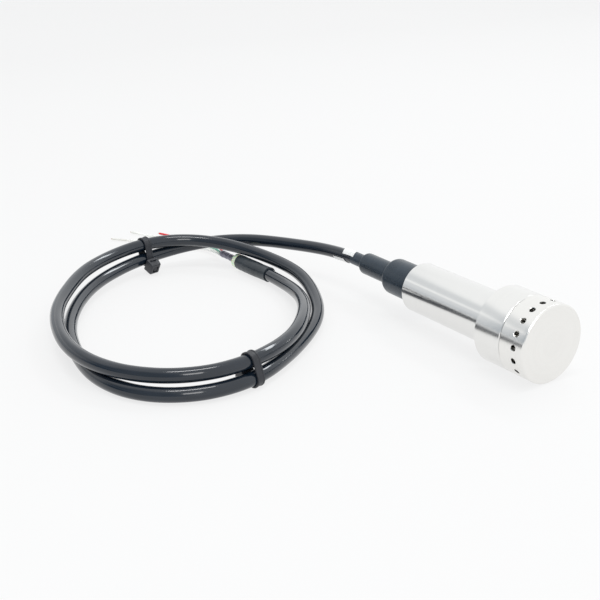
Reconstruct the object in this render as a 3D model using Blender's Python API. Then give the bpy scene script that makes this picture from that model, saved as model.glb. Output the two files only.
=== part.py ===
"""Submersible ultrasonic distance probe with a flooded guard cap and a tied loop of cable.

The probe lies along +X with its sensing face at +X, resting on its head: the floor is z = 0.
Distances along the probe are measured back from the sensing face, and become world X through
FACE_X, which puts the origin under the middle of the probe. Lengths are metres.
"""
import math

import bmesh
import bpy
import numpy as np
from mathutils import Matrix, Vector

MM = 0.001
GAP = 0.3 * MM                      # kept between solids that touch on the real probe

# Probe, outside
HEAD_RADIUS = 20.5 * MM
BODY_RADIUS = 14.0 * MM
GLAND_RADIUS = 10.4 * MM
RELIEF_RADIUS = 6.4 * MM
CAP_LENGTH = 15.5 * MM
HEAD_END = 33.0 * MM                # distances back from the sensing face
BODY_END = 96.5 * MM
GLAND_END = 120.0 * MM
RELIEF_END = 146.0 * MM
BOOT_END = 157.0 * MM

# Guard cap
CAP_WALL = 3.0 * MM
CHAMBER_RADIUS = 17.0 * MM
CHAMBER_END = 8.6 * MM
THREAD_BORE = 16.3 * MM
THREAD_END = 13.0 * MM
SPIGOT_RADIUS = 16.0 * MM
CAP_SEAL_BORE = 18.2 * MM
CAP_SEAL_AT = 14.25 * MM
CAP_SEAL_SECTION = 0.8 * MM         # radius of the seal's cord
CAP_CHAMFER = 0.6 * MM
PORT_COUNT = 18
PORT_RADIUS = 1.5 * MM
PORT_AT = 6.1 * MM
PORT_PHASE = math.radians(77.0)

# Inside the head
POCKET_RADIUS = 13.05 * MM
CUP_RADIUS = 12.75 * MM
CUP_BORE = 9.9 * MM
PIEZO_RADIUS = 9.5 * MM
POCKET_END = 24.6 * MM
PASSAGE_RADIUS = 9.0 * MM
SOCKET_RADIUS = BODY_RADIUS + GAP
SOCKET_AT = 26.7 * MM

# Body tube and electronics
TUBE_BORE = 12.5 * MM
BOARD_FRONT = 35.5 * MM
BOARD_REAR = 85.5 * MM
BOARD_WIDTH = 18.0 * MM
BOARD_THICK = 1.6 * MM
BOARD_TOP = -2.2 * MM               # below the probe's axis
HOLDER_RADIUS = 12.2 * MM

# Cable
CABLE_RADIUS = 3.75 * MM
CABLE_BORE = CABLE_RADIUS + GAP
BOOT_RADIUS = 4.5 * MM
CABLE_STEP = 14.0 * MM              # spacing of the cable's points
CORE_RADIUS = 0.7 * MM
SLEEVE_RADIUS = 4.8 * MM
LINER_RADIUS = 4.55 * MM
BUNDLE_RADIUS = 2.2 * MM
MARKER_WIDTH = 10.0 * MM
MARKER_THICK = 0.25 * MM
MARKER_FROM = 105.0                 # degrees round the cable from its top, by its front
MARKER_TO = 420.0
MARKER_UNDER = 10.5 * MM            # along the cable from the boot's end, where the tape starts
MARKER_TOP = 1.5 * MM               # and where it ends, over the boot
STRAP_THICK = 0.9 * MM
STRAP_WIDTH = 4.6 * MM
STRAP_CLEAR = 0.5 * MM              # the strap is straight where the strands bend a little
TIE_HEAD = Vector((8.2, 6.4, 8.6)) * MM

AXIS_Z = HEAD_RADIUS
FACE_X = BOOT_END / 2.0

# The cable's route in millimetres: out of the boot, twice round a loose loop, to the bared end
ROUTE = [
    (-79, 0, 20.5), (-104, -2.3, 19.1), (-132, -11.4, 17.2), (-158, -25.2, 15.4), (-176, -46, 12.9),
    (-182, -73, 10.0), (-176, -101, 8.5), (-164, -126, 6.9), (-145, -147, 5.7), (-122, -163, 4.8),
    (-97, -174, 4.3), (-69, -180.6, 4.0), (-41, -181.8, 3.95), (-16, -172, 3.95), (0, -148, 4.1),
    (1, -122, 4.6), (-10, -96, 4.8), (-27, -71, 4.75), (-47, -49.6, 5.7), (-72, -35.1, 8.0),
    (-99, -27.6, 10.5), (-126, -29.3, 12.3), (-153, -39.3, 14.8), (-173, -58, 17.1), (-181, -85, 17.8),
    (-176, -112, 16.6), (-162, -137, 15.2), (-142, -156, 13.9), (-118, -172, 13.1), (-92, -182, 12.5),
    (-64, -186, 12.0), (-37, -181, 11.8), (-14, -165, 11.9), (-2, -140, 12.3), (-4, -113, 12.8),
    (-16, -88, 12.7), (-36, -67, 11.8), (-60.5, -50.2, 9.6), (-87.5, -40.0, 6.9), (-119.6, -36.1, 5.4),
]
CABLE_TIES = [                      # name, near which points of the two strands, the head's angle
    ("cable_tie_rear", (-178.5, -88, 9.6), (-181, -88.5, 17.8), -30.0),
    ("cable_tie_front", (0.6, -119.5, 4.6), (-2.5, -119.5, 12.7), 0.0),
]
SLEEVE_ROUTE = [(-120.8, -36.2, 5.4), (-135.0, -37.2, 5.3), (-148.8, -38.0, 5.3)]
LINER_ROUTE = [(-149.2, -38.0, 5.3), (-152.4, -38.2, 5.3)]
BUNDLE_ROUTE = [(-153.1, -38.2, 5.2), (-163.0, -37.8, 4.9), (-172.5, -37.9, 4.6)]
CORE_ROUTES = {
    "core_red": [(-173.0, -37.0, 5.5), (-186, -34.4, 5.4), (-203, -36.8, 4.6), (-220, -43.0, 3.8),
                 (-237, -51, 3.9)],
    "core_green": [(-173.0, -38.8, 5.4), (-186, -36.6, 4.4), (-202, -39.4, 3.2), (-218, -46.5, 2.4),
                   (-235, -58, 2.4)],
    "core_white": [(-173.0, -39.0, 3.6), (-185, -37.8, 2.6), (-200, -41.6, 1.6), (-218, -52.5, 1.1),
                   (-235, -66, 1.1), (-252, -80, 1.1)],
    "core_clear": [(-173.0, -37.2, 3.5), (-185, -35.0, 2.8), (-200, -36.0, 1.8), (-221, -43, 1.1),
                   (-240, -53, 1.1), (-259, -62, 1.1)],
}

STAINLESS = ("stainless_steel", (0.62, 0.61, 0.59), 0.32, 1.0)
NYLON = ("black_nylon", (0.035, 0.038, 0.042), 0.45, 0.0)
JACKET = ("cable_jacket", (0.014, 0.016, 0.02), 0.2, 0.0)
SEAL = ("seal_rubber", (0.02, 0.02, 0.02), 0.6, 0.0)
WINDOW = ("window_resin", (0.78, 0.77, 0.7), 0.5, 0.0)
CERAMIC = ("piezo_ceramic", (0.62, 0.55, 0.45), 0.45, 0.0)
BACKING = ("backing_epoxy", (0.09, 0.085, 0.08), 0.6, 0.0)
BOARD = ("circuit_board", (0.02, 0.14, 0.06), 0.4, 0.0)
CHIP = ("component_black", (0.03, 0.03, 0.032), 0.5, 0.0)
COIL_TAPE = ("coil_tape", (0.75, 0.55, 0.08), 0.45, 0.0)
ALUMINIUM = ("capacitor_can", (0.7, 0.71, 0.73), 0.3, 1.0)
NATURAL = ("natural_nylon", (0.8, 0.78, 0.7), 0.45, 0.0)
LABEL = ("marker_white", (0.88, 0.88, 0.86), 0.4, 0.0)
LINER = ("sleeve_liner", (0.78, 0.88, 0.68), 0.35, 0.0)
SHIELD = ("shield_foil", (0.2, 0.19, 0.23), 0.35, 0.6)
RED = ("core_red", (0.75, 0.05, 0.06), 0.35, 0.0)
GREEN = ("core_green", (0.16, 0.42, 0.3), 0.35, 0.0)
BLUE = ("core_blue", (0.05, 0.14, 0.5), 0.35, 0.0)
WHITE = ("core_white", (0.88, 0.87, 0.8), 0.35, 0.0)
CLEAR = ("core_clear", (0.8, 0.82, 0.78), 0.35, 0.0)


def material(look):
    """The Principled material of a (name, colour, roughness, metallic) look, made once."""
    name, colour, roughness, metallic = look
    found = bpy.data.materials.get(name)
    if found:
        return found
    made = bpy.data.materials.new(name)
    made.use_nodes = True
    shader = made.node_tree.nodes["Principled BSDF"]
    shader.inputs["Base Color"].default_value = (*colour, 1.0)
    shader.inputs["Roughness"].default_value = roughness
    shader.inputs["Metallic"].default_value = metallic
    return made


def add_mesh(name, bm, look):
    """Turn a bmesh into a named object with outward faces and sharp edges over 40 degrees."""
    bmesh.ops.recalc_face_normals(bm, faces=bm.faces)
    mesh = bpy.data.meshes.new(name)
    bm.to_mesh(mesh)
    bm.free()
    mesh.shade_smooth()
    mesh.set_sharp_from_angle(angle=math.radians(40.0))
    mesh.materials.append(material(look))
    made = bpy.data.objects.new(name, mesh)
    bpy.context.scene.collection.objects.link(made)
    return made


def along(back):
    """World X of a distance back from the sensing face."""
    return FACE_X - back


def turned(name, outline, look, segments=36, closed=True):
    """Spin an outline of (distance back, radius) round the probe's axis.

    A closed outline makes a ring; an open one starts and ends on the axis.
    """
    bm = bmesh.new()
    points = [bm.verts.new((along(back), 0.0, AXIS_Z + radius)) for back, radius in outline]
    pairs = list(zip(points, points[1:]))
    if closed:
        pairs.append((points[-1], points[0]))
    edges = [bm.edges.new(pair) for pair in pairs]
    bmesh.ops.spin(bm, geom=points + edges, cent=(0.0, 0.0, AXIS_Z), axis=(1.0, 0.0, 0.0),
                   angle=2.0 * math.pi, steps=segments, use_merge=True)
    bmesh.ops.remove_doubles(bm, verts=bm.verts, dist=1e-6)
    return add_mesh(name, bm, look)


def disc(name, front, back, radius, look, segments=24):
    """A plain round disc between two distances back from the face."""
    return turned(name, [(front, 0.0), (front, radius), (back, radius), (back, 0.0)], look,
                  segments, closed=False)


def tube(name, front, back, outer, inner, look, segments=24):
    """A plain round tube between two distances back from the face."""
    return turned(name, [(front, outer), (back, outer), (back, inner), (front, inner)], look, segments)


def arc(back, radius, size, start, end, steps=4):
    """Points round a corner of the given size, angles in degrees from the radial direction."""
    angles = [math.radians(start + (end - start) * i / steps) for i in range(steps + 1)]
    return [(back + size * math.sin(a), radius + size * math.cos(a)) for a in angles]


def o_ring(name, back, radius, size, segments=24):
    """A seal ring of cord radius `size`, centred at `back` on a circle of `radius`."""
    outline = [(back + size * math.cos(a), radius + size * math.sin(a))
               for a in (2.0 * math.pi * i / 6 for i in range(6))]
    return turned(name, outline, SEAL, segments)


def block(name, back, across, height, size, look, bevel=0.0):
    """A box centred at a distance back, an offset across and a height over the axis."""
    bm = bmesh.new()
    bmesh.ops.create_cube(bm, size=1.0)
    bmesh.ops.scale(bm, vec=Vector(size), verts=bm.verts)
    if bevel:
        bmesh.ops.bevel(bm, geom=bm.edges[:], offset=bevel, segments=2, profile=0.5, affect="EDGES")
    bmesh.ops.translate(bm, vec=(along(back), across, AXIS_Z + height), verts=bm.verts)
    return add_mesh(name, bm, look)


def cut(target, cutter):
    """Subtract a cutter from a target with a Boolean, and mark the cutter as a guide."""
    cutter.hide_render = True
    cutter.display_type = "WIRE"
    boolean = target.modifiers.new(cutter.name, "BOOLEAN")
    boolean.operation = "DIFFERENCE"
    boolean.object = cutter


def smooth_route(points, step):
    """Evenly spaced points on the natural cubic spline through a route given in millimetres."""
    knots = np.array(points, dtype=float) * MM
    spans = np.linalg.norm(np.diff(knots, axis=0), axis=1)
    system = np.eye(len(knots))
    load = np.zeros_like(knots)
    for i in range(1, len(knots) - 1):
        before, after = spans[i - 1], spans[i]
        system[i, i - 1:i + 2] = before, 2.0 * (before + after), after
        load[i] = 6.0 * ((knots[i + 1] - knots[i]) / after - (knots[i] - knots[i - 1]) / before)
    bends = np.linalg.solve(system, load)
    dense = []
    for i, span in enumerate(spans):
        for t in np.linspace(0.0, 1.0, 40, endpoint=False):
            weights = ((1.0 - t) ** 3 - (1.0 - t), t ** 3 - t)
            curve = bends[i] * weights[0] + bends[i + 1] * weights[1]
            dense.append(knots[i] * (1.0 - t) + knots[i + 1] * t + curve * span * span / 6.0)
    dense = np.array(dense + [knots[-1]])
    lengths = np.concatenate(([0.0], np.cumsum(np.linalg.norm(np.diff(dense, axis=0), axis=1))))
    count = max(2, round(lengths[-1] / step)) + 1
    places = np.linspace(0.0, lengths[-1], count)
    return [Vector([np.interp(place, lengths, dense[:, axis]) for axis in range(3)]) for place in places]


def round_cord(name, points, radius, look, resolution=2):
    """A closed round cord along the points, as a bevelled curve with filled caps."""
    curve = bpy.data.curves.new(name, "CURVE")
    curve.dimensions = "3D"
    curve.bevel_depth = radius
    curve.bevel_resolution = resolution
    curve.use_fill_caps = True
    spline = curve.splines.new("POLY")
    spline.points.add(len(points) - 1)
    for target, point in zip(spline.points, points):
        target.co = (*point, 1.0)
    curve.materials.append(material(look))
    made = bpy.data.objects.new(name, curve)
    bpy.context.scene.collection.objects.link(made)
    return made


def strand_at(points, near):
    """The place on a polyline closest to a point in millimetres, and the direction there."""
    target = Vector(near) * MM
    best = None
    for first, second in zip(points, points[1:]):
        step = second - first
        t = min(1.0, max(0.0, (target - first).dot(step) / step.length_squared))
        place = first + step * t
        if best is None or (place - target).length < (best[0] - target).length:
            best = (place, step.normalized())
    return best


def frame_along(origin, direction):
    """A matrix whose X runs along a direction and whose Z points as far up as it can."""
    x_axis = Vector(direction).normalized()
    y_axis = Vector((0.0, 0.0, 1.0)).cross(x_axis).normalized()
    z_axis = x_axis.cross(y_axis)
    turn = Matrix((x_axis, y_axis, z_axis)).transposed()
    return Matrix.Translation(origin) @ turn.to_4x4()


def build_guard_cap():
    """The screw-on cap: flat front wall, flooded chamber, a ring of ports, thread and seal seat."""
    front = [(0.0, 0.0), (0.0, HEAD_RADIUS - CAP_CHAMFER), (CAP_CHAMFER, HEAD_RADIUS)]
    inside = [(CAP_LENGTH, HEAD_RADIUS), (CAP_LENGTH, CAP_SEAL_BORE), (THREAD_END, CAP_SEAL_BORE),
              (THREAD_END, THREAD_BORE), (CHAMBER_END, THREAD_BORE), (CHAMBER_END, CHAMBER_RADIUS),
              (CAP_WALL, CHAMBER_RADIUS), (CAP_WALL, 0.0)]
    cap = turned("guard_cap", front + inside, STAINLESS, segments=48, closed=False)

    drill = bmesh.new()
    drill_length = 8.0 * MM
    middle = (HEAD_RADIUS + CHAMBER_RADIUS) / 2.0
    for i in range(PORT_COUNT):
        angle = PORT_PHASE + 2.0 * math.pi * i / PORT_COUNT
        outward = Vector((0.0, math.cos(angle), math.sin(angle)))
        place = Vector((along(PORT_AT), 0.0, AXIS_Z)) + outward * middle
        turn = outward.to_track_quat("Z", "Y").to_matrix().to_4x4()
        bmesh.ops.create_cone(drill, cap_ends=True, segments=10, radius1=PORT_RADIUS,
                              radius2=PORT_RADIUS, depth=drill_length,
                              matrix=Matrix.Translation(place) @ turn)
    cut(cap, add_mesh("port_drill", drill, STAINLESS))
    seal_circle = (SPIGOT_RADIUS + CAP_SEAL_BORE) / 2.0
    o_ring("cap_o_ring", CAP_SEAL_AT, seal_circle, CAP_SEAL_SECTION)


def build_head():
    """The head: threaded spigot, transducer pocket, and the socket that takes the body tube."""
    shoulder = 0.5 * MM
    rim = CAP_LENGTH + GAP
    groove = (29.0 * MM, 31.2 * MM, 15.95 * MM)     # front, back and radius of the seal's groove
    spigot_front = CHAMBER_END + GAP
    turned("head_body", [
        (spigot_front, POCKET_RADIUS), (spigot_front, SPIGOT_RADIUS), (rim, SPIGOT_RADIUS),
        (rim, HEAD_RADIUS), (HEAD_END - shoulder, HEAD_RADIUS), (HEAD_END, HEAD_RADIUS - shoulder),
        (HEAD_END, SOCKET_RADIUS), (groove[1], SOCKET_RADIUS), (groove[1], groove[2]),
        (groove[0], groove[2]), (groove[0], SOCKET_RADIUS), (SOCKET_AT, SOCKET_RADIUS),
        (SOCKET_AT, PASSAGE_RADIUS), (POCKET_END, PASSAGE_RADIUS), (POCKET_END, POCKET_RADIUS),
    ], STAINLESS, segments=48)
    seal_section = 0.65 * MM
    seal_circle = (BODY_RADIUS + groove[2]) / 2.0
    o_ring("tube_o_ring", (groove[0] + groove[1]) / 2.0, seal_circle, seal_section)


def build_transducer():
    """The ultrasonic transducer: retaining ring, window, piezo disc, backing, cup, seal and leads."""
    ring_front = CHAMBER_END + GAP
    window = (10.7 * MM, 12.9 * MM)
    piezo = (window[1] + GAP, 15.4 * MM)
    backing = (piezo[1] + GAP, 22.0 * MM)
    cup = (window[1] + GAP, POCKET_END - GAP)
    groove = (18.3 * MM, 20.5 * MM, 11.0 * MM)
    ring_bore = 10.0 * MM
    tube("retaining_ring", ring_front, window[0] - GAP, CUP_RADIUS, ring_bore, STAINLESS)
    disc("acoustic_window", *window, CUP_RADIUS, WINDOW)
    disc("piezo_disc", *piezo, PIEZO_RADIUS, CERAMIC)
    disc("backing_block", *backing, PIEZO_RADIUS, BACKING)
    lead_hole = 2.2 * MM
    turned("transducer_cup", [
        (cup[0], CUP_BORE), (cup[0], CUP_RADIUS), (groove[0], CUP_RADIUS), (groove[0], groove[2]),
        (groove[1], groove[2]), (groove[1], CUP_RADIUS), (cup[1], CUP_RADIUS), (cup[1], lead_hole),
        (backing[1] + GAP, lead_hole), (backing[1] + GAP, CUP_BORE),
    ], NATURAL, segments=24)
    seal_section = 0.65 * MM
    seal_circle = (groove[2] + POCKET_RADIUS) / 2.0
    o_ring("transducer_o_ring", (groove[0] + groove[1]) / 2.0, seal_circle, seal_section)

    lead_radius = 0.45 * MM
    lead_start = backing[1] + GAP
    middle = (lead_start + BOARD_FRONT) / 2.0
    board_height = AXIS_Z + BOARD_TOP - BOARD_THICK / 2.0
    leads = (("transducer_lead_signal", 1.0 * MM, RED), ("transducer_lead_return", -1.0 * MM, CHIP))
    for name, side, look in leads:
        route = [(along(lead_start), side, AXIS_Z), (along(middle), 1.5 * side, AXIS_Z),
                 (along(BOARD_FRONT - GAP), 2.5 * side, board_height)]
        points = smooth_route([Vector(point) / MM for point in route], 3.0 * MM)
        round_cord(name, points, lead_radius, look)


def board_holder(name, front, back):
    """A moulded disc that fits the tube, with a slot for the board and a window over it."""
    holder = disc(name, front, back, HOLDER_RADIUS, NATURAL)
    middle = (front + back) / 2.0
    reach = (back - front) * 2.0
    slot_height = BOARD_THICK + 2.0 * GAP
    board_middle = BOARD_TOP - BOARD_THICK / 2.0
    slot_size = (reach, BOARD_WIDTH + 2.0 * GAP, slot_height)
    cut(holder, block(name + "_slot", middle, 0.0, board_middle, slot_size, NATURAL))
    cut(holder, block(name + "_window", middle, 0.0, 2.0 * MM, (reach, 12.0 * MM, 9.0 * MM), NATURAL))


def build_electronics():
    """The circuit board on its two holders, with its parts standing on the board's top."""
    length = BOARD_REAR - BOARD_FRONT
    middle = (BOARD_REAR + BOARD_FRONT) / 2.0
    board_middle = BOARD_TOP - BOARD_THICK / 2.0
    block("circuit_board", middle, 0.0, board_middle, (length, BOARD_WIDTH, BOARD_THICK), BOARD)
    board_holder("front_board_holder", 37.5 * MM, 40.0 * MM)
    board_holder("rear_board_holder", 81.0 * MM, 83.5 * MM)

    def on_board(name, back, across, size, look, bevel=0.0):
        size = [side * MM for side in size]
        height = BOARD_TOP + GAP + size[2] / 2.0
        block(name, back * MM, across * MM, height, size, look, bevel * MM)

    on_board("pulse_transformer", 46.0, 0.0, (8.5, 9.0, 7.5), COIL_TAPE, 0.6)
    on_board("microcontroller", 56.5, 0.0, (7.0, 7.0, 1.2), CHIP)
    on_board("echo_amplifier", 64.0, 3.5, (4.0, 5.0, 1.6), CHIP)
    on_board("board_connector", 77.5, 0.0, (5.0, 8.0, 4.5), NATURAL)

    bm = bmesh.new()
    height = 7.5 * MM
    place = Vector((along(68.5 * MM), -3.5 * MM, AXIS_Z + BOARD_TOP + GAP + height / 2.0))
    bmesh.ops.create_cone(bm, cap_ends=True, segments=20, radius1=3.1 * MM, radius2=3.1 * MM,
                          depth=height, matrix=Matrix.Translation(place))
    add_mesh("storage_capacitor", bm, ALUMINIUM)


def build_gland():
    """The cable gland: two stepped sleeves with round shoulders, seal, washer and tapered boot."""
    collar = TUBE_BORE - GAP
    front = 87.0 * MM
    groove = (89.0 * MM, 91.2 * MM, 11.0 * MM)
    big_corner = 2.6 * MM
    seal_bore = RELIEF_RADIUS + 0.4 * MM
    seal_outer = RELIEF_RADIUS + 0.1 * MM
    seat = 97.6 * MM
    cable_clearance = CABLE_RADIUS + 0.5 * MM
    turned("gland_body", [
        (front, cable_clearance), (front, collar), (groove[0], collar),
        (groove[0], groove[2]), (groove[1], groove[2]), (groove[1], collar), (BODY_END - GAP, collar),
        (BODY_END - GAP, GLAND_RADIUS),
        *arc(GLAND_END - big_corner, GLAND_RADIUS - big_corner, big_corner, 0.0, 90.0),
        (GLAND_END, seal_bore), (seat, seal_bore), (seat, cable_clearance),
    ], NYLON, segments=32)
    seal_section = 0.5 * MM
    seal_circle = (groove[2] + TUBE_BORE) / 2.0 - 0.1 * MM
    o_ring("gland_o_ring", (groove[0] + groove[1]) / 2.0, seal_circle, seal_section)
    washer = (seat + GAP, seat + GAP + 1.2 * MM)
    tube("gland_washer", *washer, seal_outer, CABLE_BORE, STAINLESS)
    seal_back = 105.5 * MM
    tube("cable_seal", washer[1] + GAP, seal_back, seal_outer, CABLE_BORE, SEAL)

    small_corner = 2.0 * MM
    boot_bore = BOOT_RADIUS + GAP
    boot_start = 140.0 * MM
    turned("strain_relief", [
        (seal_back + GAP, CABLE_BORE), (seal_back + GAP, RELIEF_RADIUS),
        *arc(RELIEF_END - small_corner, RELIEF_RADIUS - small_corner, small_corner, 0.0, 55.0),
        (RELIEF_END, boot_bore), (boot_start - GAP, boot_bore), (boot_start - GAP, CABLE_BORE),
    ], NYLON, segments=28)
    turned("cable_boot", [
        (boot_start, CABLE_BORE), (boot_start, BOOT_RADIUS), (BOOT_END - 0.3 * MM, BOOT_RADIUS),
        (BOOT_END, BOOT_RADIUS - 0.1 * MM), (BOOT_END, CABLE_BORE),
    ], NYLON, segments=24)


def build_lead_in():
    """The cable's fixed end inside the gland, and its cores to the board's connector."""
    cable_end = 92.0 * MM
    lead_radius = 0.55 * MM
    disc("cable_lead_in", cable_end, BOOT_END - 0.1 * MM, CABLE_RADIUS, JACKET, segments=20)
    corners = (("lead_red", 1.2, 1.2, RED), ("lead_green", -1.2, 1.2, GREEN),
               ("lead_white", 1.2, -1.2, WHITE), ("lead_blue", -1.2, -1.2, BLUE))
    for name, across, up, look in corners:
        route = [(along(cable_end - GAP) / MM, across, AXIS_Z / MM + up),
                 (along(86.0 * MM) / MM, 1.3 * across, AXIS_Z / MM + up),
                 (along(80.3 * MM) / MM, 1.6 * across, AXIS_Z / MM + 0.6 * up)]
        round_cord(name, smooth_route(route, 2.5 * MM), lead_radius, look)


def body_tube():
    """The stainless tube between head and gland."""
    chamfer = 0.4 * MM
    turned("body_tube", [
        (SOCKET_AT + GAP, BODY_RADIUS), (BODY_END - chamfer, BODY_RADIUS),
        (BODY_END, BODY_RADIUS - chamfer), (BODY_END, TUBE_BORE), (SOCKET_AT + GAP, TUBE_BORE),
    ], STAINLESS, segments=48)


def cable_tie(name, strands, head_angle):
    """A strap round two strands with its ratchet head on the side given by an angle in degrees.

    The angle turns in the strap's plane from the inside of the loop, positive up.
    """
    (lower, direction), (upper, other) = strands
    place = frame_along(lower, direction + other)
    offset = place.inverted() @ upper
    tilt = math.atan2(offset.z, offset.y)
    distance = math.hypot(offset.y, offset.z)
    inner = CABLE_RADIUS + STRAP_CLEAR

    def band(radius):
        """Outline of the strap's section round both strands, as (y, z)."""
        outline = []
        for centre, start in ((distance, -90.0), (0.0, 90.0)):
            for i in range(9):
                angle = tilt + math.radians(start + 180.0 * i / 8)
                outline.append((centre * math.cos(tilt) + radius * math.cos(angle),
                                centre * math.sin(tilt) + radius * math.sin(angle)))
        return outline

    bm = bmesh.new()
    rings = [[bm.verts.new((x, y, z)) for y, z in band(radius)]
             for radius, x in ((inner, -STRAP_WIDTH / 2.0), (inner, STRAP_WIDTH / 2.0),
                               (inner + STRAP_THICK, STRAP_WIDTH / 2.0),
                               (inner + STRAP_THICK, -STRAP_WIDTH / 2.0))]
    for first, second in zip(rings, rings[1:] + rings[:1]):
        for i in range(len(first)):
            j = (i + 1) % len(first)
            bm.faces.new((first[i], first[j], second[j], second[i]))
    strap = add_mesh(name, bm, NYLON)
    strap.matrix_world = place

    reach = inner + STRAP_THICK * 0.4 + TIE_HEAD.y / 2.0
    angle = math.radians(head_angle)
    centre = Vector((0.0, math.cos(angle), math.sin(angle))) * reach
    bm = bmesh.new()
    bmesh.ops.create_cube(bm, size=1.0)
    bmesh.ops.scale(bm, vec=TIE_HEAD, verts=bm.verts)
    bmesh.ops.bevel(bm, geom=bm.edges[:], offset=0.7 * MM, segments=1, affect="EDGES")
    head = add_mesh(name + "_head", bm, NYLON)
    head.matrix_world = place @ Matrix.Translation(centre) @ Matrix.Rotation(angle, 4, "X")
    head.hide_render = True
    head.display_type = "WIRE"
    join = strap.modifiers.new("head", "BOOLEAN")
    join.operation = "UNION"
    join.object = head


def cable_marker(points):
    """White tape wound on a slant round the back of cable and boot, from underneath to the top."""
    across = frame_along(points[0], points[1] - points[0]).to_3x3()
    radii = (BOOT_RADIUS + GAP, BOOT_RADIUS + GAP + MARKER_THICK)
    line = [points[0] + Vector((CABLE_STEP, 0.0, 0.0)), *points]
    bm = bmesh.new()
    steps = 16
    rings = []
    for i in range(steps + 1):
        share = i / steps
        angle = math.radians(MARKER_FROM + (MARKER_TO - MARKER_FROM) * share)
        middle = MARKER_UNDER + (MARKER_TOP - MARKER_UNDER) * share
        ring = []
        for radius, edge in ((radii[0], -0.5), (radii[0], 0.5), (radii[1], 0.5), (radii[1], -0.5)):
            away = 1.0 + (middle + edge * MARKER_WIDTH) / CABLE_STEP
            first = int(away)
            place = line[first].lerp(line[first + 1], away - first)
            offset = Vector((0.0, radius * math.sin(angle), radius * math.cos(angle)))
            ring.append(bm.verts.new(place + across @ offset))
        rings.append(ring)
    for first, second in zip(rings, rings[1:]):
        for i in range(4):
            j = (i + 1) % 4
            bm.faces.new((first[i], first[j], second[j], second[i]))
    bm.faces.new(rings[0])
    bm.faces.new(rings[-1])
    add_mesh("cable_marker", bm, LABEL)


def build_cable():
    """The loose loop of cable, its two ties, its marker, and the bared end in its sleeve."""
    exit_gap = Vector((-GAP, 0.0, 0.0))
    points = smooth_route(ROUTE, CABLE_STEP)
    points[0] += exit_gap
    round_cord("cable", points, CABLE_RADIUS, JACKET, resolution=3)
    cable_marker(points)

    half = len(points) // 2
    first, second = points[:half], points[half:]
    for name, lower, upper, head_angle in CABLE_TIES:
        cable_tie(name, (strand_at(first, lower), strand_at(second, upper)), head_angle)

    round_cord("end_sleeve", smooth_route(SLEEVE_ROUTE, 5.0 * MM), SLEEVE_RADIUS, NYLON, resolution=3)
    round_cord("sleeve_liner", smooth_route(LINER_ROUTE, 2.0 * MM), LINER_RADIUS, LINER, resolution=3)
    round_cord("shield_bundle", smooth_route(BUNDLE_ROUTE, 4.0 * MM), BUNDLE_RADIUS, SHIELD)
    looks = {"core_red": RED, "core_green": GREEN, "core_white": WHITE, "core_clear": CLEAR}
    for name, route in CORE_ROUTES.items():
        round_cord(name, smooth_route(route, 6.0 * MM), CORE_RADIUS, looks[name])


def main():
    for leftover in list(bpy.data.objects):
        bpy.data.objects.remove(leftover)
    build_guard_cap()
    build_head()
    build_transducer()
    body_tube()
    build_electronics()
    build_gland()
    build_lead_in()
    build_cable()


main()
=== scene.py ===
"""Looks of a submersible ultrasonic distance probe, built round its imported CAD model.

Every piece is made in the CAD's own frame, in metres: the probe lies along X with its sensing
face at +X, and the floor is z = 0.
"""

import math

import bmesh
import bpy
import numpy as np
from mathutils import Matrix, Vector


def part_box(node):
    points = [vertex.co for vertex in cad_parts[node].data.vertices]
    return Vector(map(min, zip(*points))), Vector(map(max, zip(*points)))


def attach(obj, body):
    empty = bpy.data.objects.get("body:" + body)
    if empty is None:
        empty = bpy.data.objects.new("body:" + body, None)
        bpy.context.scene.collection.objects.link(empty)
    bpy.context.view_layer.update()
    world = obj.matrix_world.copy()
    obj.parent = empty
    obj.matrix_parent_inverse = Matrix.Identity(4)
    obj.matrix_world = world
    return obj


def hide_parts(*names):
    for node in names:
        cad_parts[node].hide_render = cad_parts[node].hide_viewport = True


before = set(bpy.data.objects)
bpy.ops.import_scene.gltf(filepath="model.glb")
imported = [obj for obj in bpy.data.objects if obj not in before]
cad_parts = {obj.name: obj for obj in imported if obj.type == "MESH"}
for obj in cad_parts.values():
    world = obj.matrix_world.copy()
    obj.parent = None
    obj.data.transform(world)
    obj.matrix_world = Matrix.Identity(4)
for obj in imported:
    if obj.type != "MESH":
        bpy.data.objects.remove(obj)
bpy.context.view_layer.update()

MM = 0.001
TAU = 2.0 * math.pi

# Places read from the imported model
CAP_LOW, CAP_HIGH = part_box("guard_cap")
HEAD_LOW, HEAD_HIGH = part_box("head_body")
TUBE_LOW, TUBE_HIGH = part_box("body_tube")
GLAND_LOW, GLAND_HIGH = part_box("gland_body")
RELIEF_LOW, RELIEF_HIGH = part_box("strain_relief")
BOOT_LOW, BOOT_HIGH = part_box("cable_boot")
FACE_X = CAP_HIGH.x
AXIS_Z = (CAP_LOW.z + CAP_HIGH.z) / 2.0
HEAD_RADIUS = (CAP_HIGH.z - CAP_LOW.z) / 2.0
TUBE_RADIUS = (TUBE_HIGH.z - TUBE_LOW.z) / 2.0

# Turned pieces
TURN_SEGMENTS = 180
CORNER_STEPS = 5
PORT_COUNT = 18
PORT_RADIUS = 1.5 * MM
PORT_BACK = 6.1 * MM                # of the ports' middle, behind the sensing face
PORT_PHASE = math.radians(77.0)
PORT_BREAK = 0.22 * MM              # chamfer round each port's mouth
CAP_WALL = 3.0 * MM
CHAMBER_RADIUS = 17.0 * MM
CHAMBER_BACK = 8.6 * MM
THREAD_BACK = 13.0 * MM
SEAL_BORE = 18.2 * MM
THREAD_PITCH = 1.5 * MM
THREAD_ROOT = 15.25 * MM            # of the thread on the head; the cap's is THREAD_PLAY wider
THREAD_DEPTH = 0.75 * MM
THREAD_PLAY = 0.33 * MM

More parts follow.
